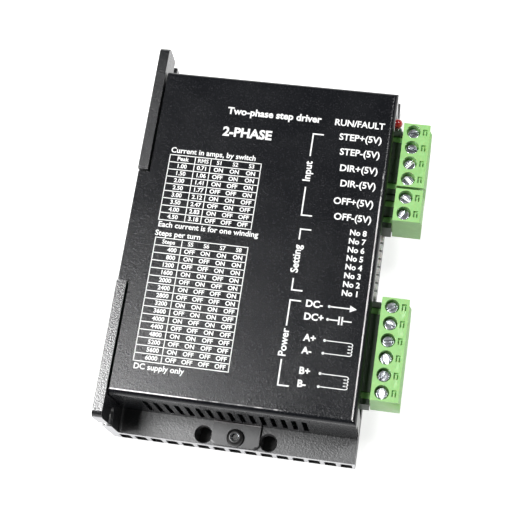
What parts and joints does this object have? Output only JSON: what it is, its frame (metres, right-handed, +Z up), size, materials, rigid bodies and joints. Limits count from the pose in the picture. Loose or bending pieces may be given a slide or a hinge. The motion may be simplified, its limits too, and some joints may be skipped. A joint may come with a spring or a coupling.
{
  "type": "stepper driver module",
  "caption": "Stepper driver module: finned heatsink with slotted flange, black sheet cover with printed legend, pluggable screw terminals, slide switches and lamps.",
  "frame": {"origin": "middle of the bottom face of the bounding box, plugs included", "axes": "+X from the mounting flange towards the terminals, +Y along the extrusion towards the indicator lamps' end, +Z up through the printed cover"},
  "size_m": [0.087, 0.118, 0.034],
  "materials": {
    "powder_coat": "fine-grained semi-gloss black powder coat",
    "bare_edge": "saw-cut bare ends and rubbed edges",
    "legend_white": "screen-printed ink",
    "black_screw": "black oxide",
    "plated_steel": "zinc plated",
    "plated_brass": "bright",
    "plug_green": "moulded, semi-matt",
    "header_green": "moulded, semi-matt",
    "circuit_board": "solder mask",
    "switch_violet": "moulded",
    "slider_white": "moulded",
    "lamp_red": "tinted epoxy",
    "lamp_green": "tinted epoxy",
    "chip_epoxy": "moulded epoxy",
    "thermal_pad": "silicone pad",
    "capacitor_sleeve": "shrink sleeve over an aluminium can",
    "ferrite": "sintered ferrite"
  },
  "bodies": {
    "root": {"heatsink": "powder_coat", "cover": "powder_coat", "cover_screw_near": "black_screw", "cover_screw_far": "black_screw", "pcb": "circuit_board", "pcb_screw_1": "plated_steel", "pcb_screw_2": "plated_steel", "pcb_screw_3": "plated_steel", "pcb_screw_4": "plated_steel", "thermal_pad": "thermal_pad", "bridge_driver_a": "chip_epoxy", "bridge_driver_b": "chip_epoxy", "controller_chip": "chip_epoxy", "bus_capacitor_1": "capacitor_sleeve", "bus_capacitor_2": "capacitor_sleeve", "power_inductor": "ferrite", "optocoupler_1": "chip_epoxy", "optocoupler_2": "chip_epoxy", "optocoupler_3": "chip_epoxy", "signal_4_header": "header_green", "signal_2_header": "header_green", "power_header": "header_green", "switch_body": "switch_violet", "lamp_power": "lamp_green", "lamp_alarm": "lamp_red"},
    "signal_4_plug": {"signal_4_plug": "plug_green"},
    "signal_4_screw_1": {"signal_4_screw_1": "plated_steel"},
    "signal_4_clamp_1": {"signal_4_clamp_1": "plated_brass"},
    "signal_4_screw_2": {"signal_4_screw_2": "plated_steel"},
    "signal_4_clamp_2": {"signal_4_clamp_2": "plated_brass"},
    "signal_4_screw_3": {"signal_4_screw_3": "plated_steel"},
    "signal_4_clamp_3": {"signal_4_clamp_3": "plated_brass"},
    "signal_4_screw_4": {"signal_4_screw_4": "plated_steel"},
    "signal_4_clamp_4": {"signal_4_clamp_4": "plated_brass"},
    "signal_2_plug": {"signal_2_plug": "plug_green"},
    "signal_2_screw_1": {"signal_2_screw_1": "plated_steel"},
    "signal_2_clamp_1": {"signal_2_clamp_1": "plated_brass"},
    "signal_2_screw_2": {"signal_2_screw_2": "plated_steel"},
    "signal_2_clamp_2": {"signal_2_clamp_2": "plated_brass"},
    "power_plug": {"power_plug": "plug_green"},
    "power_screw_1": {"power_screw_1": "plated_steel"},
    "power_clamp_1": {"power_clamp_1": "plated_brass"},
    "power_screw_2": {"power_screw_2": "plated_steel"},
    "power_clamp_2": {"power_clamp_2": "plated_brass"},
    "power_screw_3": {"power_screw_3": "plated_steel"},
    "power_clamp_3": {"power_clamp_3": "plated_brass"},
    "power_screw_4": {"power_screw_4": "plated_steel"},
    "power_clamp_4": {"power_clamp_4": "plated_brass"},
    "power_screw_5": {"power_screw_5": "plated_steel"},
    "power_clamp_5": {"power_clamp_5": "plated_brass"},
    "power_screw_6": {"power_screw_6": "plated_steel"},
    "power_clamp_6": {"power_clamp_6": "plated_brass"},
    "switch_slider_1": {"switch_slider_1": "slider_white"},
    "switch_slider_2": {"switch_slider_2": "slider_white"},
    "switch_slider_3": {"switch_slider_3": "slider_white"},
    "switch_slider_4": {"switch_slider_4": "slider_white"},
    "switch_slider_5": {"switch_slider_5": "slider_white"},
    "switch_slider_6": {"switch_slider_6": "slider_white"},
    "switch_slider_7": {"switch_slider_7": "slider_white"},
    "switch_slider_8": {"switch_slider_8": "slider_white"}
  },
  "joints": [
    {"name": "signal_4_plug_slide", "type": "slide", "parent": "root", "child": "signal_4_plug", "axis": [1, 0, 0], "range_m": [0, 0.009]},
    {"name": "signal_4_screw_1_turn", "type": "hinge", "parent": "signal_4_plug", "child": "signal_4_screw_1", "pos_m": [0.0379, 0.03906, 0.0298], "axis": [0, 0, -1], "range_deg": [0, 1801]},
    {"name": "signal_4_clamp_1_rise", "type": "slide", "parent": "signal_4_plug", "child": "signal_4_clamp_1", "axis": [0, 0, 1], "range_m": [0, 0.0025]},
    {"name": "signal_4_screw_2_turn", "type": "hinge", "parent": "signal_4_plug", "child": "signal_4_screw_2", "pos_m": [0.0379, 0.03398, 0.0298], "axis": [0, 0, -1], "range_deg": [0, 1801]},
    {"name": "signal_4_clamp_2_rise", "type": "slide", "parent": "signal_4_plug", "child": "signal_4_clamp_2", "axis": [0, 0, 1], "range_m": [0, 0.0025]},
    {"name": "signal_4_screw_3_turn", "type": "hinge", "parent": "signal_4_plug", "child": "signal_4_screw_3", "pos_m": [0.0379, 0.0289, 0.0298], "axis": [0, 0, -1], "range_deg": [0, 1801]},
    {"name": "signal_4_clamp_3_rise", "type": "slide", "parent": "signal_4_plug", "child": "signal_4_clamp_3", "axis": [0, 0, 1], "range_m": [0, 0.0025]},
    {"name": "signal_4_screw_4_turn", "type": "hinge", "parent": "signal_4_plug", "child": "signal_4_screw_4", "pos_m": [0.0379, 0.02382, 0.0298], "axis": [0, 0, -1], "range_deg": [0, 1801]},
    {"name": "signal_4_clamp_4_rise", "type": "slide", "parent": "signal_4_plug", "child": "signal_4_clamp_4", "axis": [0, 0, 1], "range_m": [0, 0.0025]},
    {"name": "signal_2_plug_slide", "type": "slide", "parent": "root", "child": "signal_2_plug", "axis": [1, 0, 0], "range_m": [0, 0.009]},
    {"name": "signal_2_screw_1_turn", "type": "hinge", "parent": "signal_2_plug", "child": "signal_2_screw_1", "pos_m": [0.0379, 0.01796, 0.0298], "axis": [0, 0, -1], "range_deg": [0, 1801]},
    {"name": "signal_2_clamp_1_rise", "type": "slide", "parent": "signal_2_plug", "child": "signal_2_clamp_1", "axis": [0, 0, 1], "range_m": [0, 0.0025]},
    {"name": "signal_2_screw_2_turn", "type": "hinge", "parent": "signal_2_plug", "child": "signal_2_screw_2", "pos_m": [0.0379, 0.01288, 0.0298], "axis": [0, 0, -1], "range_deg": [0, 1801]},
    {"name": "signal_2_clamp_2_rise", "type": "slide", "parent": "signal_2_plug", "child": "signal_2_clamp_2", "axis": [0, 0, 1], "range_m": [0, 0.0025]},
    {"name": "power_plug_slide", "type": "slide", "parent": "root", "child": "power_plug", "axis": [1, 0, 0], "range_m": [0, 0.009]},
    {"name": "power_screw_1_turn", "type": "hinge", "parent": "power_plug", "child": "power_screw_1", "pos_m": [0.0379, -0.01583, 0.0298], "axis": [0, 0, -1], "range_deg": [0, 1801]},
    {"name": "power_clamp_1_rise", "type": "slide", "parent": "power_plug", "child": "power_clamp_1", "axis": [0, 0, 1], "range_m": [0, 0.0025]},
    {"name": "power_screw_2_turn", "type": "hinge", "parent": "power_plug", "child": "power_screw_2", "pos_m": [0.0379, -0.02091, 0.0298], "axis": [0, 0, -1], "range_deg": [0, 1801]},
    {"name": "power_clamp_2_rise", "type": "slide", "parent": "power_plug", "child": "power_clamp_2", "axis": [0, 0, 1], "range_m": [0, 0.0025]},
    {"name": "power_screw_3_turn", "type": "hinge", "parent": "power_plug", "child": "power_screw_3", "pos_m": [0.0379, -0.02599, 0.0298], "axis": [0, 0, -1], "range_deg": [0, 1801]},
    {"name": "power_clamp_3_rise", "type": "slide", "parent": "power_plug", "child": "power_clamp_3", "axis": [0, 0, 1], "range_m": [0, 0.0025]},
    {"name": "power_screw_4_turn", "type": "hinge", "parent": "power_plug", "child": "power_screw_4", "pos_m": [0.0379, -0.03107, 0.0298], "axis": [0, 0, -1], "range_deg": [0, 1801]},
    {"name": "power_clamp_4_rise", "type": "slide", "parent": "power_plug", "child": "power_clamp_4", "axis": [0, 0, 1], "range_m": [0, 0.0025]},
    {"name": "power_screw_5_turn", "type": "hinge", "parent": "power_plug", "child": "power_screw_5", "pos_m": [0.0379, -0.03615, 0.0298], "axis": [0, 0, -1], "range_deg": [0, 1801]},
    {"name": "power_clamp_5_rise", "type": "slide", "parent": "power_plug", "child": "power_clamp_5", "axis": [0, 0, 1], "range_m": [0, 0.0025]},
    {"name": "power_screw_6_turn", "type": "hinge", "parent": "power_plug", "child": "power_screw_6", "pos_m": [0.0379, -0.04123, 0.0298], "axis": [0, 0, -1], "range_deg": [0, 1801]},
    {"name": "power_clamp_6_rise", "type": "slide", "parent": "power_plug", "child": "power_clamp_6", "axis": [0, 0, 1], "range_m": [0, 0.0025]},
    {"name": "switch_slider_1_slide", "type": "slide", "parent": "root", "child": "switch_slider_1", "axis": [0, 0, 1], "range_m": [0, 0.002]},
    {"name": "switch_slider_2_slide", "type": "slide", "parent": "root", "child": "switch_slider_2", "axis": [0, 0, 1], "range_m": [0, 0.002]},
    {"name": "switch_slider_3_slide", "type": "slide", "parent": "root", "child": "switch_slider_3", "axis": [0, 0, 1], "range_m": [0, 0.002]},
    {"name": "switch_slider_4_slide", "type": "slide", "parent": "root", "child": "switch_slider_4", "axis": [0, 0, 1], "range_m": [0, 0.002]},
    {"name": "switch_slider_5_slide", "type": "slide", "parent": "root", "child": "switch_slider_5", "axis": [0, 0, 1], "range_m": [0, 0.002]},
    {"name": "switch_slider_6_slide", "type": "slide", "parent": "root", "child": "switch_slider_6", "axis": [0, 0, 1], "range_m": [0, 0.002]},
    {"name": "switch_slider_7_slide", "type": "slide", "parent": "root", "child": "switch_slider_7", "axis": [0, 0, 1], "range_m": [0, 0.002]},
    {"name": "switch_slider_8_slide", "type": "slide", "parent": "root", "child": "switch_slider_8", "axis": [0, 0, 1], "range_m": [0, 0.002]}
  ],
  "couplings": [
    {"joint": "signal_4_screw_1_turn", "follows": "signal_4_clamp_1_rise", "rad_per_m": 12566},
    {"joint": "signal_4_screw_2_turn", "follows": "signal_4_clamp_2_rise", "rad_per_m": 12566},
    {"joint": "signal_4_screw_3_turn", "follows": "signal_4_clamp_3_rise", "rad_per_m": 12566},
    {"joint": "signal_4_screw_4_turn", "follows": "signal_4_clamp_4_rise", "rad_per_m": 12566},
    {"joint": "signal_2_screw_1_turn", "follows": "signal_2_clamp_1_rise", "rad_per_m": 12566},
    {"joint": "signal_2_screw_2_turn", "follows": "signal_2_clamp_2_rise", "rad_per_m": 12566},
    {"joint": "power_screw_1_turn", "follows": "power_clamp_1_rise", "rad_per_m": 12566},
    {"joint": "power_screw_2_turn", "follows": "power_clamp_2_rise", "rad_per_m": 12566},
    {"joint": "power_screw_3_turn", "follows": "power_clamp_3_rise", "rad_per_m": 12566},
    {"joint": "power_screw_4_turn", "follows": "power_clamp_4_rise", "rad_per_m": 12566},
    {"joint": "power_screw_5_turn", "follows": "power_clamp_5_rise", "rad_per_m": 12566},
    {"joint": "power_screw_6_turn", "follows": "power_clamp_6_rise", "rad_per_m": 12566}
  ]
}
